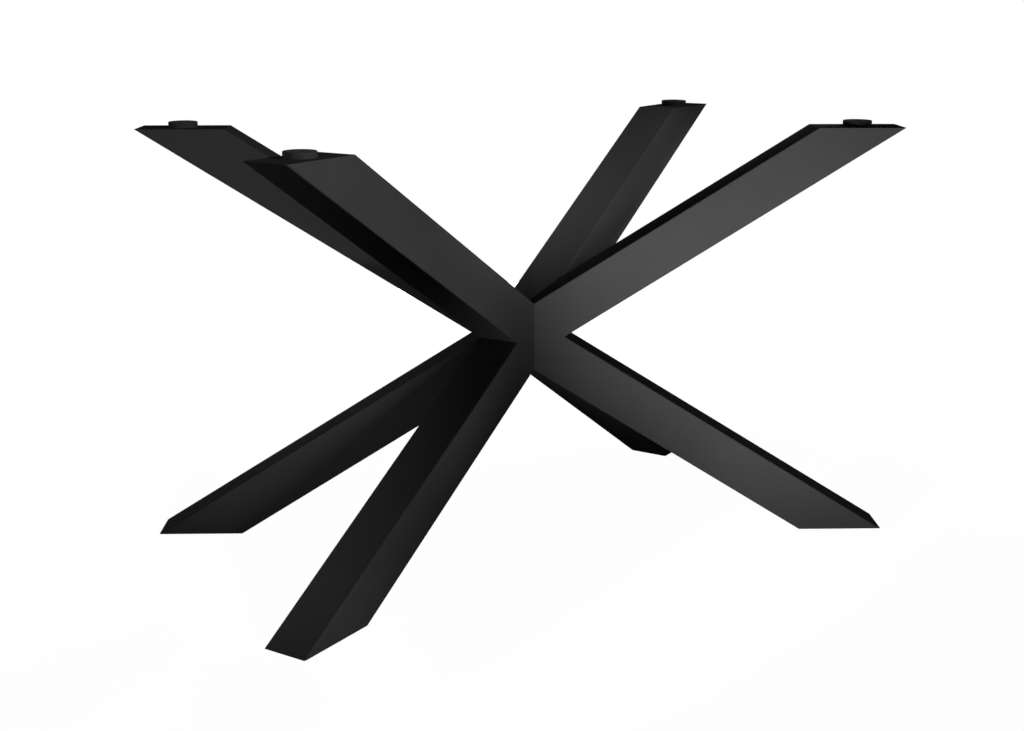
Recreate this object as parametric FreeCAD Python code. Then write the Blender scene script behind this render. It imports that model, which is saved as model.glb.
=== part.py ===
import FreeCAD, Part

import math
import os

# An X-shaped steel table leg: two mirror-image half frames, bolted together at the middle.
# Millimetres. The origin is on the floor under the middle of the frame. +X runs along the table,
# +Y across it towards the back, and +Z up. Four straight diagonals of square tube cross at one
# point, and each is an upper and a lower arm there, so one arm lies in each octant.

V = FreeCAD.Vector

# Frame of square tube
FRAME_HEIGHT = 727.0        # from the level cuts of the feet to those of the upper ends
ARM_RISE_DEG = 32.0         # slope of every arm, up or down from level
PLAN_ANGLE_DEG = 28.0       # angle between an arm and the X axis, seen from above
TUBE_SIDE = 80.0
TUBE_WALL = 2.0
TUBE_CORNER = 2.5           # outside radius of the tube's corners
TOP_PLATE = 4.0             # plate that closes an upper arm
FOOT_PLATE = 4.0            # plate that closes a foot
JOINT_PLATE = 8.0           # upright plate that the four arms of a half are welded to

# Flat bar that crosses the joint inside the hub, and the two seats it lies on
BAR_WIDTH = 50.0
BAR_THICK = 12.0
BAR_END_GAP = 3.0           # from the bar's corners to the tube walls
WINDOW_CLEAR = 0.5          # around the bar where it passes the joint plates
SEAT_THICK = 6.0
SEAT_MARGIN = 10.0          # seat beyond each long edge of the bar
SEAT_SETBACK = 2.0          # bar beyond the end of each seat

# Socket head screws that clamp the bar to its seats from below
BOLT_R = 5.0
BOLT_SPACING = 28.0         # across the bar
BOLT_HEAD_R = 8.0
BOLT_HEAD_HEIGHT = 10.0
BOLT_KEY = 8.0              # across the flats of the socket
BOLT_KEY_DEPTH = 5.0
BOLT_HOLE_CLEAR = 0.5
WASHER_R = 10.0
WASHER_THICK = 2.0
THREAD_CLEAR = 0.05         # between a plain shank and the tapped hole it stands in

# Plugs in the holes that a key passes on its way to those screws
PLUG_HOLE_R = 11.0
PLUG_LIP = 2.0              # flange beyond the hole
PLUG_FLANGE = 1.5
PLUG_DEPTH = 6.0
PLUG_WALL = 1.5
PLUG_CLEAR = 0.1

# Round rubber pads on the upper ends, each with its screw, washer and weld nut
PAD_R = 25.0
PAD_EDGE = 1.5              # chamfer of the upper rim
PAD_FLOOR = 3.5             # rubber under the washer
PAD_SINK = 1.6              # from the pad's face down to the screw's head
PAD_BORE_CLEAR = 0.75
PAD_SCREW_R = 3.0
PAD_SCREW_END = 1.9         # screw beyond its nut
PAD_HEAD_R = 5.25
PAD_HEAD_HEIGHT = 3.3
PAD_CROWN = 1.6             # chamfer round the button head
PAD_KEY = 4.0
PAD_KEY_DEPTH = 2.0
PAD_HOLE_CLEAR = 0.3
PAD_WASHER_R = 6.0
PAD_WASHER_THICK = 1.6
NUT_FLATS = 10.0
NUT_THICK = 5.0

# Nylon glides pressed into the foot plates
GLIDE_R = 15.0
GLIDE_HEIGHT = 3.0
GLIDE_EDGE = 1.0            # chamfer of the lower rim
GLIDE_STEM_R = 4.0
GLIDE_STEM_END = 6.0        # stem beyond the foot plate
GLIDE_CLEAR = 0.05

# Worked out from the values above
RISE = math.radians(ARM_RISE_DEG)
PLAN = math.radians(PLAN_ANGLE_DEG)
BOTTOM = GLIDE_HEIGHT
TOP = BOTTOM + FRAME_HEIGHT
MIDDLE = (BOTTOM + TOP) / 2
END_REACH = FRAME_HEIGHT / 2 / math.tan(RISE)      # from the middle out to the centre of an end cut
FAR = FRAME_HEIGHT + 2 * END_REACH                 # longer than any arm
HUB_REACH = (TUBE_SIDE / 2 - TUBE_WALL) / math.sin(RISE)   # out to the walls between upper and lower arms
BAR_HALF = (HUB_REACH - BAR_END_GAP - BAR_WIDTH / 2 * math.sin(PLAN)) / math.cos(PLAN)
BAR_LOW = MIDDLE - BAR_THICK / 2
SEAT_LOW = BAR_LOW - SEAT_THICK
SEAT_END = BAR_HALF - SEAT_SETBACK
BOLT_X = (JOINT_PLATE + SEAT_END) / 2
BOLT_Y = BOLT_SPACING / 2
PAD_BORE_R = PAD_WASHER_R + PAD_BORE_CLEAR
PAD_HEIGHT = PAD_FLOOR + PAD_WASHER_THICK + PAD_HEAD_HEIGHT + PAD_SINK
PAD_SCREW_LENGTH = PAD_WASHER_THICK + PAD_FLOOR + TOP_PLATE + NUT_THICK + PAD_SCREW_END

SIDES = {"right": 1, "left": -1}
DEPTHS = {"front": -1, "back": 1}
LEVELS = {"upper": 1, "lower": -1}


def square_bar(side, corner):
    """A solid square bar along Z, from a little below the origin to far above it."""
    bar = Part.makeBox(side, side, TUBE_SIDE + FAR, V(-side / 2, -side / 2, -TUBE_SIDE))
    if corner <= 0:
        return bar
    long_edges = [edge for edge in bar.Edges if edge.Length > FAR]
    return bar.makeFillet(corner, long_edges)


def along_arm(shape, sx, sy, sz):
    """Turns a shape that stands on Z so that it lies along the arm of one octant."""
    axis = V(sx * math.cos(PLAN) * math.cos(RISE), sy * math.sin(PLAN) * math.cos(RISE), sz * math.sin(RISE))
    level = V(-sy * math.sin(PLAN), sx * math.cos(PLAN), 0)
    steep = axis.cross(level)
    turn = FreeCAD.Matrix(
        level.x, steep.x, axis.x, 0,
        level.y, steep.y, axis.y, 0,
        level.z, steep.z, axis.z, MIDDLE,
        0, 0, 0, 1,
    )
    shape.Placement = FreeCAD.Placement(turn)
    return shape


def solid_arm(sx, sy, sz):
    """The outside of the tube in one octant, uncut."""
    return along_arm(square_bar(TUBE_SIDE, TUBE_CORNER), sx, sy, sz)


def tube_bore(sx, sy, sz):
    """The inside of the same tube."""
    return along_arm(square_bar(TUBE_SIDE - 2 * TUBE_WALL, TUBE_CORNER - TUBE_WALL), sx, sy, sz)


def quadrant_box(sx, sy, z_from, z_to, x_near=0.0, x_far=FAR):
    """The block of one quadrant between two heights and two distances from the plane of the joint."""
    low = min(z_from, z_to)
    corner = V(x_near if sx > 0 else -x_far, 0 if sy > 0 else -FAR, low)
    return Part.makeBox(x_far - x_near, FAR, abs(z_to - z_from), corner)


def arm(sx, sy, sz):
    """A hollow arm, mitred to its neighbours at the middle and cut level at its outer end."""
    end = TOP - TOP_PLATE if sz > 0 else BOTTOM + FOOT_PLATE
    tube = solid_arm(sx, sy, sz).cut(tube_bore(sx, sy, sz))
    tube = tube.common(quadrant_box(sx, sy, MIDDLE, end, x_near=JOINT_PLATE))
    if sz < 0:
        tube = tube.cut(key_hole(sx, sy))
    return tube


def under_bolt(shape, sx, sy):
    """Moves a shape to the lower face of a lower arm, under a bolt, with its +Z into the tube."""
    reach = BOLT_X * math.cos(PLAN) + BOLT_Y * math.sin(PLAN)
    height = MIDDLE - TUBE_SIDE / 2 / math.cos(RISE) - reach * math.tan(RISE)
    inward = V(sx * math.cos(PLAN) * math.sin(RISE), sy * math.sin(PLAN) * math.sin(RISE), math.cos(RISE))
    shape.Placement = FreeCAD.Placement(V(sx * BOLT_X, sy * BOLT_Y, height), FreeCAD.Rotation(V(0, 0, 1), inward))
    return shape


def key_hole(sx, sy):
    """The hole through the lower wall of a lower arm, for the key and the screw."""
    return under_bolt(Part.makeCylinder(PLUG_HOLE_R, 3 * TUBE_WALL, V(0, 0, -TUBE_WALL)), sx, sy)


def end_centre(sx, sy, z):
    """The centre of an arm's end, at a given height."""
    return V(sx * END_REACH * math.cos(PLAN), sy * END_REACH * math.sin(PLAN), z)


def end_plate(sx, sy, sz, z_from, z_to, hole_r):
    """A plate with the outline of an arm between two heights, and a hole under its end's centre."""
    plate = solid_arm(sx, sy, sz).common(quadrant_box(sx, sy, z_from, z_to))
    return plate.cut(Part.makeCylinder(hole_r, z_to - z_from, end_centre(sx, sy, z_from)))


def top_plate(sx, sy):
    return end_plate(sx, sy, 1, TOP - TOP_PLATE, TOP, PAD_SCREW_R + PAD_HOLE_CLEAR)


def foot_plate(sx, sy):
    return end_plate(sx, sy, -1, BOTTOM, BOTTOM + FOOT_PLATE, GLIDE_STEM_R + GLIDE_CLEAR)


def joint_plate(sx):
    """The upright plate of one half: the outline of its four arms, with a window for the bar."""
    quarters = []
    for sy in DEPTHS.values():
        for sz in LEVELS.values():
            slab = quadrant_box(sx, sy, MIDDLE, MIDDLE + sz * FAR, x_far=JOINT_PLATE)
            quarters.append(solid_arm(sx, sy, sz).common(slab))
    plate = quarters[0].fuse(quarters[1:]).removeSplitter()
    width = BAR_WIDTH + 2 * WINDOW_CLEAR
    height = BAR_THICK + 2 * WINDOW_CLEAR
    window = Part.makeBox(2 * JOINT_PLATE, width, height, V(-JOINT_PLATE, -width / 2, MIDDLE - height / 2))
    return plate.cut(window)


def bolt_point(sx, sy, z):
    """The point on a joint bolt's axis at a given height."""
    return V(sx * BOLT_X, sy * BOLT_Y, z)


def seat_plate(sx):
    """The shelf in one half of the hub that the bar lies on."""
    width = BAR_WIDTH + 2 * SEAT_MARGIN
    corner = V(JOINT_PLATE if sx > 0 else -SEAT_END, -width / 2, SEAT_LOW)
    seat = Part.makeBox(SEAT_END - JOINT_PLATE, width, SEAT_THICK, corner)
    for sy in DEPTHS.values():
        seat = seat.cut(Part.makeCylinder(BOLT_R + BOLT_HOLE_CLEAR, SEAT_THICK, bolt_point(sx, sy, SEAT_LOW)))
    return seat


def joint_bar():
    """The flat bar across the joint, with a tapped hole for each bolt."""
    bar = Part.makeBox(2 * BAR_HALF, BAR_WIDTH, BAR_THICK, V(-BAR_HALF, -BAR_WIDTH / 2, BAR_LOW))
    for sx in SIDES.values():
        for sy in DEPTHS.values():
            bar = bar.cut(Part.makeCylinder(BOLT_R + THREAD_CLEAR, BAR_THICK, bolt_point(sx, sy, BAR_LOW)))
    return bar


def hexagon(flats, height, base):
    """An upright six-sided prism, given across its flats."""
    radius = flats / 2 / math.cos(math.pi / 6)
    turns = [math.pi / 3 * n for n in range(7)]
    outline = Part.makePolygon([base + V(radius * math.cos(turn), radius * math.sin(turn), 0) for turn in turns])
    return Part.Face(outline).extrude(V(0, 0, height))


def ring(outer_r, inner_r, height, base):
    """A flat washer."""
    return Part.makeCylinder(outer_r, height, base).cut(Part.makeCylinder(inner_r, height, base))


def joint_bolt(sx, sy):
    """A socket head screw, head down, from its washer to the top of the bar."""
    seat = bolt_point(sx, sy, SEAT_LOW - WASHER_THICK)
    face = bolt_point(sx, sy, seat.z - BOLT_HEAD_HEIGHT)
    head = Part.makeCylinder(BOLT_HEAD_R, BOLT_HEAD_HEIGHT, face).cut(hexagon(BOLT_KEY, BOLT_KEY_DEPTH, face))
    shank = Part.makeCylinder(BOLT_R, WASHER_THICK + SEAT_THICK + BAR_THICK, seat)
    return head.fuse(shank).removeSplitter()


def joint_washer(sx, sy):
    return ring(WASHER_R, BOLT_R + BOLT_HOLE_CLEAR, WASHER_THICK, bolt_point(sx, sy, SEAT_LOW - WASHER_THICK))


def key_hole_plug(sx, sy):
    """A plastic plug: a thin flange against the tube, and a hollow stem through its wall."""
    stem_r = PLUG_HOLE_R - PLUG_CLEAR
    flange = Part.makeCylinder(PLUG_HOLE_R + PLUG_LIP, PLUG_FLANGE, V(0, 0, -PLUG_FLANGE))
    stem = ring(stem_r, stem_r - PLUG_WALL, PLUG_DEPTH, V(0, 0, 0))
    return under_bolt(flange.fuse(stem).removeSplitter(), sx, sy)


def rim_edges(disc, z):
    """The round edge of an upright disc at a given height."""
    return [edge for edge in disc.Edges if abs(edge.BoundBox.ZMin - z) + abs(edge.BoundBox.ZMax - z) < 1e-3]


def glass_pad(sx, sy):
    """A rubber puck with a chamfered rim, bored for its screw and washer."""
    puck = Part.makeCylinder(PAD_R, PAD_HEIGHT, end_centre(sx, sy, TOP))
    puck = puck.makeChamfer(PAD_EDGE, rim_edges(puck, TOP + PAD_HEIGHT))
    puck = puck.cut(Part.makeCylinder(PAD_BORE_R, PAD_HEIGHT, end_centre(sx, sy, TOP + PAD_FLOOR)))
    return puck.cut(Part.makeCylinder(PAD_SCREW_R + PAD_HOLE_CLEAR, PAD_HEIGHT, end_centre(sx, sy, TOP)))


def pad_washer(sx, sy):
    inner_r = PAD_SCREW_R + PAD_HOLE_CLEAR
    return ring(PAD_WASHER_R, inner_r, PAD_WASHER_THICK, end_centre(sx, sy, TOP + PAD_FLOOR))


def pad_screw(sx, sy):
    """A button head screw through the pad and the top plate into its nut."""
    seat = TOP + PAD_FLOOR + PAD_WASHER_THICK
    crown = seat + PAD_HEAD_HEIGHT
    head = Part.makeCylinder(PAD_HEAD_R, PAD_HEAD_HEIGHT, end_centre(sx, sy, seat))
    head = head.makeChamfer(PAD_CROWN, rim_edges(head, crown))
    head = head.cut(hexagon(PAD_KEY, PAD_KEY_DEPTH, end_centre(sx, sy, crown - PAD_KEY_DEPTH)))
    shank = Part.makeCylinder(PAD_SCREW_R, PAD_SCREW_LENGTH, end_centre(sx, sy, seat - PAD_SCREW_LENGTH))
    return head.fuse(shank).removeSplitter()


def pad_nut(sx, sy):
    """The weld nut under a top plate."""
    base = end_centre(sx, sy, TOP - TOP_PLATE - NUT_THICK)
    return hexagon(NUT_FLATS, NUT_THICK, base).cut(Part.makeCylinder(PAD_SCREW_R + THREAD_CLEAR, NUT_THICK, base))


def foot_glide(sx, sy):
    """A nylon disc under a foot, on a stem through the foot plate."""
    disc = Part.makeCylinder(GLIDE_R, GLIDE_HEIGHT, end_centre(sx, sy, 0))
    disc = disc.makeChamfer(GLIDE_EDGE, rim_edges(disc, 0))
    stem = Part.makeCylinder(GLIDE_STEM_R, FOOT_PLATE + GLIDE_STEM_END, end_centre(sx, sy, BOTTOM))
    return disc.fuse(stem).removeSplitter()


def at_corners(make):
    """The same small piece at all four corners, as separate solids of one node."""
    return Part.makeCompound([make(sx, sy) for sx in SIDES.values() for sy in DEPTHS.values()])


def all_nodes():
    """Every node's shape, by name."""
    nodes = {}
    for depth, sy in DEPTHS.items():
        for side, sx in SIDES.items():
            corner = f"{depth}_{side}"
            for level, sz in LEVELS.items():
                nodes[f"{corner}_{level}_arm"] = arm(sx, sy, sz)
            nodes[f"{corner}_top_plate"] = top_plate(sx, sy)
            nodes[f"{corner}_foot_plate"] = foot_plate(sx, sy)
            nodes[f"{corner}_glass_pad"] = glass_pad(sx, sy)
            nodes[f"{corner}_foot_glide"] = foot_glide(sx, sy)
    for side, sx in SIDES.items():
        nodes[f"{side}_joint_plate"] = joint_plate(sx)
        nodes[f"{side}_seat_plate"] = seat_plate(sx)
    nodes["joint_bar"] = joint_bar()
    nodes["joint_bolts"] = at_corners(joint_bolt)
    nodes["joint_washers"] = at_corners(joint_washer)
    nodes["key_hole_plugs"] = at_corners(key_hole_plug)
    nodes["pad_screws"] = at_corners(pad_screw)
    nodes["pad_washers"] = at_corners(pad_washer)
    nodes["pad_weld_nuts"] = at_corners(pad_nut)
    return nodes


os.makedirs("parts", exist_ok=True)
for name, shape in all_nodes().items():
    shape.exportStep(f"parts/{name}.step")
    print(f"{name}: {len(shape.Solids)} solid, {shape.Volume / 1000:.1f} cm3, valid {shape.isValid()}")
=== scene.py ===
import math

import bpy
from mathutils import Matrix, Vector


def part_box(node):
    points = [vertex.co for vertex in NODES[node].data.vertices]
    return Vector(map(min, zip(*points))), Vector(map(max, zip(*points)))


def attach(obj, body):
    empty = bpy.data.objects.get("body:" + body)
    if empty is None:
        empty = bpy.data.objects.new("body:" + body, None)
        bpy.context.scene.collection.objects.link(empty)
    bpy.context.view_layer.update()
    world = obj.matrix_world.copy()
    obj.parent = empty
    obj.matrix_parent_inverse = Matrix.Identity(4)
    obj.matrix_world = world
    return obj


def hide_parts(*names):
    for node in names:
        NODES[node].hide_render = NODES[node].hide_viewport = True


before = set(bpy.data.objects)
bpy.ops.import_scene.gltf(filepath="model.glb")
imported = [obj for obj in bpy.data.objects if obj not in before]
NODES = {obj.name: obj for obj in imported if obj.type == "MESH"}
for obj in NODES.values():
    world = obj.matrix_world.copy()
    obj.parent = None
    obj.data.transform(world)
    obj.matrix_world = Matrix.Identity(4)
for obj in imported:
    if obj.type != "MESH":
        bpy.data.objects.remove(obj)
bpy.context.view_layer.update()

# The photograph's viewpoint, in metres and degrees
CAMERA_AT = (-1.2633, -2.2155, 0.9562)
CAMERA_TILT_DEG = 75.665    # from straight down
CAMERA_TURN_DEG = -29.309
CAMERA_LENS_MM = 51.48
SENSOR_MM = 36.0
CAMERA_SEES_TO = 100.0

# Surroundings, in metres and as shares of white
FLOOR_SIZE = 60.0
FLOOR_DROP = 0.0002         # just under the glides, so that nothing shares its plane
WORLD_FILL = 0.003          # what the surroundings give the object
FLOOR_GLOW = 0.975          # floor near the object as the camera sees it, before the lamps
FLOOR_PAINT = 0.30          # share of the floor's colour that takes light and shadow
FLOOR_MOTTLE = 0.985        # its darkest tone, against 1 for its lightest
FLOOR_MOTTLE_SCALE = 1.5
FLOOR_DIM = 0.01            # floor as it lights the object
MIRRORED_SHARE = 0.2        # how much of the white surroundings is mirrored in the object
GLOW_FROM = 0.75            # out to here the floor shows shadows
GLOW_TO = 1.5               # from here on it is plain white

# Soft lamps behind the object: name, place, point looked at, width, height, watts
MIDDLE = (0.0, 0.0, 0.37)
SOFT_LAMPS = (
    ("right_soft", (2.4, 1.2, 0.3), MIDDLE, 0.8, 0.5, 6.0),
    ("back_soft", (0.5, 2.2, 0.1), MIDDLE, 1.6, 0.2, 16.0),
    ("back_left", (-1.8, 1.9, 0.3), MIDDLE, 0.9, 0.5, 2.5),
)

# Beams, which give each face its tone: name, place, point looked at, half angle of the cone in
# degrees, watts
BEAMS = (
    ("front_right_beam", (-0.3, -0.9, 0.05), (0.5, -0.27, 0.67), 39.0, 63.7),
    ("right_tip_beam", (-1.0, -1.6, 0.25), (0.32, -0.17, 0.6), 14.0, 56.2),
    ("right_foot_beam", (-1.0, -0.9, 0.1), (0.55, -0.29, 0.05), 11.5, 66.0),
    ("front_left_beam", (0.3, -1.6, 1.0), (-0.5, -0.27, 0.68), 20.0, 64.6),
    ("left_middle_beam", (0.6, -0.6, 0.25), (-0.32, -0.17, 0.37), 14.0, 17.5),
    ("left_foot_beam", (-0.6, -0.9, 0.05), (-0.45, -0.24, 0.1), 22.0, 10.3),
    ("upper_middle_beam", (-0.3, -0.9, 0.75), (0.0, 0.0, 0.65), 14.0, 42.8),
    ("back_right_beam", (0.7, -0.7, 1.4), (0.32, 0.17, 0.61), 15.0, 33.0),
    ("back_left_beam", (-1.4, -1.6, 1.0), (-0.5, 0.27, 0.68), 14.0, 34.2),
    ("far_left_beam", (-1.0, -0.9, 0.25), (-0.28, 0.15, 0.37), 14.0, 3.5),
    ("far_foot_beam", (-1.0, -0.6, 0.05), (-0.3, 0.16, 0.17), 22.0, 7.4),
)
BEAM_RADIUS = 0.08          # of the lamp itself, for soft shadows

# Finishes: darkest and lightest colour, and the coat's fine grain
COAT = ((0.046, 0.046, 0.047, 1.0), (0.052, 0.052, 0.053, 1.0))
COAT_GRAIN = (0.066, 0.066, 0.067, 1.0)
COAT_SPECULAR = 0.006       # so little that a face seen at a flat angle stays dark
RUBBER = ((0.018, 0.018, 0.019, 1.0), (0.030, 0.030, 0.031, 1.0))
NYLON = ((0.020, 0.020, 0.021, 1.0), (0.027, 0.027, 0.028, 1.0))
ZINC = ((0.50, 0.51, 0.53, 1.0), (0.62, 0.63, 0.64, 1.0))
NOISE_RANGE = (0.3, 0.7)    # where most of a noise's values lie


# Camera, first of all

def add_camera():
    data = bpy.data.cameras.new("camera")
    data.lens = CAMERA_LENS_MM
    data.sensor_width = SENSOR_MM
    data.clip_end = CAMERA_SEES_TO
    camera = bpy.data.objects.new("camera", data)
    camera.location = CAMERA_AT
    camera.rotation_euler.x = math.radians(CAMERA_TILT_DEG)
    camera.rotation_euler.z = math.radians(CAMERA_TURN_DEG)
    bpy.context.scene.collection.objects.link(camera)
    bpy.context.scene.camera = camera


add_camera()


# Materials

class Nodes:
    """A short way to write a node tree."""

    def __init__(self, name):
        self.material = bpy.data.materials.new(name)
        self.material.use_nodes = True
        self.tree = self.material.node_tree
        self.tree.nodes.clear()
        self.output = self.tree.nodes.new("ShaderNodeOutputMaterial")

    def add(self, kind, inputs=None, **settings):
        node = self.tree.nodes.new(kind)
        for key, value in settings.items():
            setattr(node, key, value)
        for key, value in (inputs or {}).items():
            if isinstance(value, bpy.types.NodeSocket):
                self.tree.links.new(value, node.inputs[key])
            else:
                node.inputs[key].default_value = value
        return node

    def noise(self, where, scale, detail=3.0, roughness=0.5):
        inputs = {"Vector": where, "Scale": scale, "Detail": detail, "Roughness": roughness}
        return self.add("ShaderNodeTexNoise", inputs).outputs["Fac"]

    def spread(self, value, low, high, source=NOISE_RANGE):
        """Maps a source range, such as a noise's, to the range from low to high."""
        inputs = {
            "Value": value,
            "From Min": source[0],
            "From Max": source[1],
            "To Min": low,
            "To Max": high,
        }
        return self.add("ShaderNodeMapRange", inputs).outputs["Result"]

    def blend(self, factor, first, second):
        """Mixes two colours. The mix node's sockets share their names, so they are given by number."""
        node = self.add("ShaderNodeMix", {0: factor, 6: first, 7: second}, data_type="RGBA")
        return node.outputs[2]

    def mottled(self, factor, colours):
        """Spreads a noise over the range between two colours."""
        return self.blend(self.spread(factor, 0.0, 1.0), *colours)

    def bump(self, height, distance, strength=1.0, normal=None):
        inputs = {"Height": height, "Distance": distance, "Strength": strength}
        if normal is not None:
            inputs["Normal"] = normal
        return self.add("ShaderNodeBump", inputs).outputs["Normal"]

    def surface(self, shader):
        self.tree.links.new(shader.outputs[0], self.output.inputs["Surface"])
        return self.material


def grey(value):
    return (value, value, value, 1.0)


def powder_coat():
    """Matt black powder coat: the fine skin of an orange, with faint clouds in its gloss and depth."""
    n = Nodes("powder_coat")
    where = n.add("ShaderNodeTexCoord").outputs["Object"]
    clouds = n.noise(where, 9.0, 4.0)
    peel = n.noise(where, 420.0, 2.0)
    grain = n.noise(where, 1600.0, 2.0)
    colour = n.blend(n.spread(grain, 0.0, 0.25), n.mottled(clouds, COAT), COAT_GRAIN)
    skin = n.bump(peel, 0.00012, 0.5)
    skin = n.bump(grain, 0.00003, 0.5, skin)
    inputs = {
        "Base Color": colour,
        "Roughness": n.spread(clouds, 0.84, 0.94),
        "Specular IOR Level": COAT_SPECULAR,
        "Normal": skin,
    }
    return n.surface(n.add("ShaderNodeBsdfPrincipled", inputs))


def rubber():
    """Black moulded rubber, with a faint bloom and a fine moulded grain."""
    n = Nodes("pad_rubber")
    where = n.add("ShaderNodeTexCoord").outputs["Object"]
    bloom = n.noise(where, 60.0, 5.0)
    grain = n.noise(where, 1300.0, 3.0)
    inputs = {
        "Base Color": n.mottled(bloom, RUBBER),
        "Roughness": n.spread(bloom, 0.66, 0.82),
        "Specular IOR Level": 0.25,
        "Normal": n.bump(grain, 0.00006, 0.6),
    }
    return n.surface(n.add("ShaderNodeBsdfPrincipled", inputs))


def nylon():
    """Black nylon, a little smoother than the rubber."""
    n = Nodes("black_nylon")
    where = n.add("ShaderNodeTexCoord").outputs["Object"]
    flow = n.noise(where, 140.0, 3.0)
    grain = n.noise(where, 2200.0, 2.0)
    inputs = {
        "Base Color": n.mottled(flow, NYLON),
        "Roughness": n.spread(flow, 0.40, 0.52),
        "Specular IOR Level": 0.35,
        "Normal": n.bump(grain, 0.00003, 0.5),
    }
    return n.surface(n.add("ShaderNodeBsdfPrincipled", inputs))


def zinc():
    """Bright zinc plate, with the faint mottle that plating leaves."""
    n = Nodes("zinc_steel")
    where = n.add("ShaderNodeTexCoord").outputs["Object"]
    mottle = n.noise(where, 320.0, 4.0)
    fine = n.noise(where, 2600.0, 3.0)
    inputs = {
        "Base Color": n.mottled(mottle, ZINC),
        "Metallic": 1.0,
        "Roughness": n.spread(mottle, 0.28, 0.42),
        "Normal": n.bump(fine, 0.00002, 0.4),
    }
    return n.surface(n.add("ShaderNodeBsdfPrincipled", inputs))


MATERIALS = {
    "powder_coat": powder_coat(),
    "pad_rubber": rubber(),
    "black_nylon": nylon(),
    "zinc_steel": zinc(),
}
OTHER_FINISHES = {          # by the ending of a piece's name; all the rest is coated
    "pad": "pad_rubber",
    "foot_glide": "black_nylon",
    "key_hole_plugs": "black_nylon",
    "joint_bolts": "zinc_steel",
    "joint_washers": "zinc_steel",
    "pad_screws": "zinc_steel",
    "pad_washers": "zinc_steel",
}
SMOOTH_BELOW_DEG = 32.0     # angle between faces up to which they are shaded as one


def finish_of(node):
    for ending, finish in OTHER_FINISHES.items():
        if node.endswith(ending):
            return finish
    return "powder_coat"


def dress(name, piece):
    """Gives a piece its finish, and soft shading across its small roundings."""
    piece.data.materials.clear()
    piece.data.materials.append(MATERIALS[finish_of(name)])
    piece.data.shade_smooth()
    piece.data.set_sharp_from_angle(angle=math.radians(SMOOTH_BELOW_DEG))


for name, piece in sorted(NODES.items()):
    dress(name, piece)


# Moulded rubber pads, in metres

PAD_RIM = 0.0015            # rounding of the upper rim
PAD_FOOT = 0.0006           # rounding of the lower rim
PAD_SIDE = 0.0002           # from the parting line in to the side wall
PARTING_HALF = 0.00025      # half the width of the parting line
PAD_BORE_R = 0.00675
PAD_BORE_EDGE = 0.0005
PAD_HOLE_R = 0.0033
PAD_FLOOR = 0.0035          # rubber under the washer
PAD_CLEAR = 0.00002         # from the plate below and the washer above
PAD_SEGMENTS = 128
ARC_STEPS = 6


def arc(r, z, radius, start_deg, end_deg):
    """Points along an arc in the plane of a profile, 0 degrees outwards and 90 up."""
    points = []
    for i in range(ARC_STEPS + 1):
        turn = math.radians(start_deg + (end_deg - start_deg) * i / ARC_STEPS)
        points.append((r + radius * math.cos(turn), z + radius * math.sin(turn)))
    return points


def pad_profile(outer_r, low, high):
    """The section of a pad, once round from the lower rim."""
    wall = outer_r - PAD_SIDE
    parting = (low + high) / 2
    floor = low + PAD_FLOOR - PAD_CLEAR
    base = low + PAD_CLEAR
    points = arc(wall - PAD_FOOT, base + PAD_FOOT, PAD_FOOT, -90, 0)
    points += [(wall, parting - PARTING_HALF), (outer_r, parting), (wall, parting + PARTING_HALF)]
    points += arc(wall - PAD_RIM, high - PAD_RIM, PAD_RIM, 0, 90)
    points += arc(PAD_BORE_R + PAD_BORE_EDGE, high - PAD_BORE_EDGE, PAD_BORE_EDGE, 90, 180)
    points += [(PAD_BORE_R, floor), (PAD_HOLE_R, floor), (PAD_HOLE_R, base)]
    return points


def turned(name, centre, profile, segments):
    """A closed ring-shaped mesh: the profile turned about an upright axis."""
    verts = []
    for i in range(segments):
        turn = 2 * math.pi * i / segments
        for r, z in profile:
            verts.append((centre[0] + r * math.cos(turn), centre[1] + r * math.sin(turn), z))
    count = len(profile)
    faces = []
    for i in range(segments):
        here, there = i * count, (i + 1) % segments * count
        for j in range(count):
            k = (j + 1) % count
            faces.append((here + j, there + j, there + k, here + k))
    mesh = bpy.data.meshes.new(name)
    mesh.from_pydata(verts, [], faces)
    mesh.validate()
    piece = bpy.data.objects.new(name, mesh)
    bpy.context.scene.collection.objects.link(piece)
    return piece


def add_pad(node):
    low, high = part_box(node)
    centre = ((low[0] + high[0]) / 2, (low[1] + high[1]) / 2)
    profile = pad_profile((high[0] - low[0]) / 2, low[2], high[2])
    pad = turned(node.rsplit("_", 2)[0] + "_rubber_pad", centre, profile, PAD_SEGMENTS)
    dress(pad.name, pad)
    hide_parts(node)
    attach(pad, "root")


for name in sorted(NODES):
    if name.endswith("_pad"):
        add_pad(name)


# Floor, surroundings and lamps

def seen_rays(tree):
    """How white a ray sees the surroundings: 1 for the camera's own rays, also through something clear,
    a share of it for mirrored rays, and 0 for the rays that light the object."""
    path = tree.nodes.new("ShaderNodeLightPath")
    mirrored = tree.nodes.new("ShaderNodeMath")
    mirrored.operation = "MULTIPLY"
    mirrored.inputs[1].default_value = MIRRORED_SHARE
    tree.links.new(path.outputs["Is Glossy Ray"], mirrored.inputs[0])
    total = path.outputs["Is Camera Ray"]
    for other in (mirrored.outputs[0], path.outputs["Is Transmission Ray"]):
        larger = tree.nodes.new("ShaderNodeMath")
        larger.operation = "MAXIMUM"
        tree.links.new(total, larger.inputs[0])
        tree.links.new(other, larger.inputs[1])
        total = larger.outputs[0]
    return total


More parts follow.
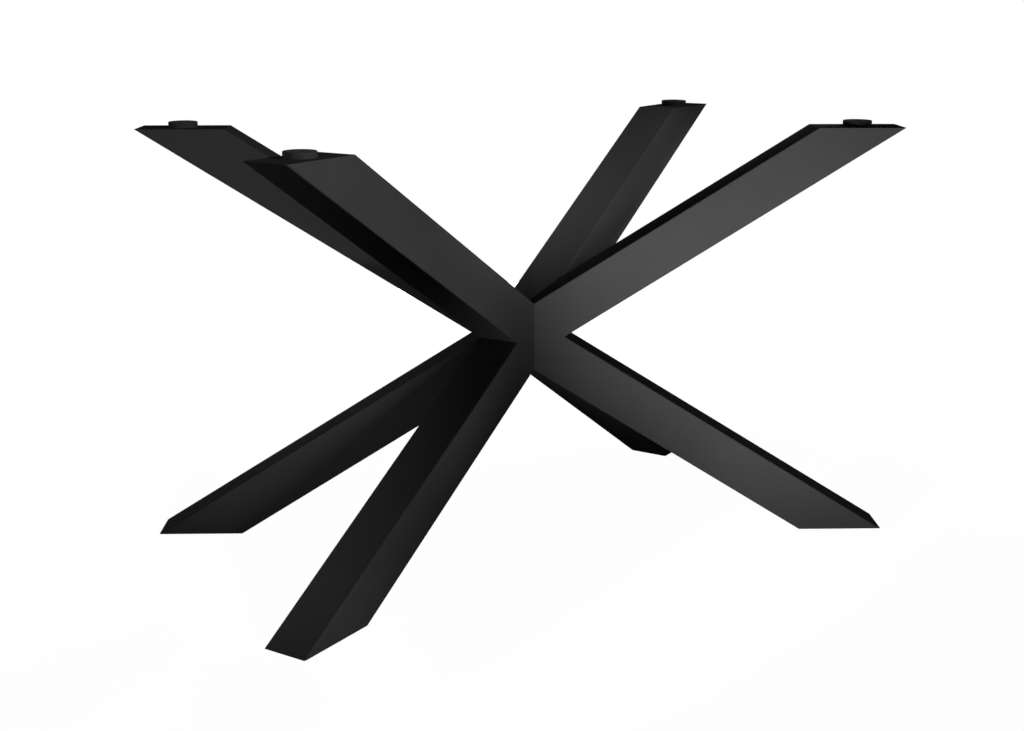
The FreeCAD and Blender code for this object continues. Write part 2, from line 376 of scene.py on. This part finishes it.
def floor_material():
    n = Nodes("pale_floor")
    where = n.add("ShaderNodeTexCoord").outputs["Object"]
    tone = n.spread(n.noise(where, FLOOR_MOTTLE_SCALE), FLOOR_MOTTLE, 1.0)
    paint = n.add("ShaderNodeCombineColor", {"Red": tone, "Green": tone, "Blue": tone}).outputs[0]
    painted = n.add("ShaderNodeBsdfDiffuse", {"Color": n.blend(1.0 - FLOOR_PAINT, paint, grey(0.0))})
    away = n.add("ShaderNodeVectorMath", {0: where}, operation="LENGTH").outputs["Value"]
    level = n.spread(away, FLOOR_GLOW, 1.0, (GLOW_FROM, GLOW_TO))
    glow = n.add("ShaderNodeEmission", {"Color": grey(1.0), "Strength": level})
    shown = n.add("ShaderNodeAddShader")
    n.tree.links.new(painted.outputs[0], shown.inputs[0])
    n.tree.links.new(glow.outputs[0], shown.inputs[1])
    dim = n.add("ShaderNodeBsdfDiffuse", {"Color": grey(FLOOR_DIM)})
    mixed = n.add("ShaderNodeMixShader", {"Fac": seen_rays(n.tree)})
    n.tree.links.new(dim.outputs[0], mixed.inputs[1])
    n.tree.links.new(shown.outputs[0], mixed.inputs[2])
    return n.surface(mixed)


def add_floor():
    half = FLOOR_SIZE / 2
    mesh = bpy.data.meshes.new("floor")
    corners = [(-half, -half, 0.0), (half, -half, 0.0), (half, half, 0.0), (-half, half, 0.0)]
    mesh.from_pydata(corners, [], [(0, 1, 2, 3)])
    floor = bpy.data.objects.new("floor", mesh)
    floor.location.z = -FLOOR_DROP
    mesh.materials.append(floor_material())
    bpy.context.scene.collection.objects.link(floor)


def add_world():
    world = bpy.data.worlds.new("studio")
    world.use_nodes = True
    tree = world.node_tree
    background = tree.nodes["Background"]
    background.inputs["Color"].default_value = grey(1.0)
    level = tree.nodes.new("ShaderNodeMapRange")
    level.inputs["To Min"].default_value = WORLD_FILL
    level.inputs["To Max"].default_value = 1.0
    tree.links.new(seen_rays(tree), level.inputs["Value"])
    tree.links.new(level.outputs["Result"], background.inputs["Strength"])
    bpy.context.scene.world = world


def hang_lamp(data, place, target):
    lamp = bpy.data.objects.new(data.name, data)
    lamp.location = place
    lamp.rotation_mode = "QUATERNION"
    lamp.rotation_quaternion = (Vector(target) - Vector(place)).to_track_quat("-Z", "Y")
    lamp.visible_camera = False
    bpy.context.scene.collection.objects.link(lamp)


def add_lamp(name, place, target, width, height, watts):
    data = bpy.data.lights.new(name, "AREA")
    data.shape = "RECTANGLE"
    data.size = width
    data.size_y = height
    data.energy = watts
    hang_lamp(data, place, target)


def add_beam(name, place, target, half_angle_deg, watts):
    """A lamp whose light fades out all the way to the edge of its cone."""
    data = bpy.data.lights.new(name, "SPOT")
    data.spot_size = math.radians(2.0 * half_angle_deg)
    data.spot_blend = 1.0
    data.shadow_soft_size = BEAM_RADIUS
    data.energy = watts
    hang_lamp(data, place, target)


add_floor()
add_world()
for lamp in SOFT_LAMPS:
    add_lamp(*lamp)
for beam in BEAMS:
    add_beam(*beam)

bpy.context.scene.view_settings.view_transform = "Standard"

bpy.context.view_layer.update()
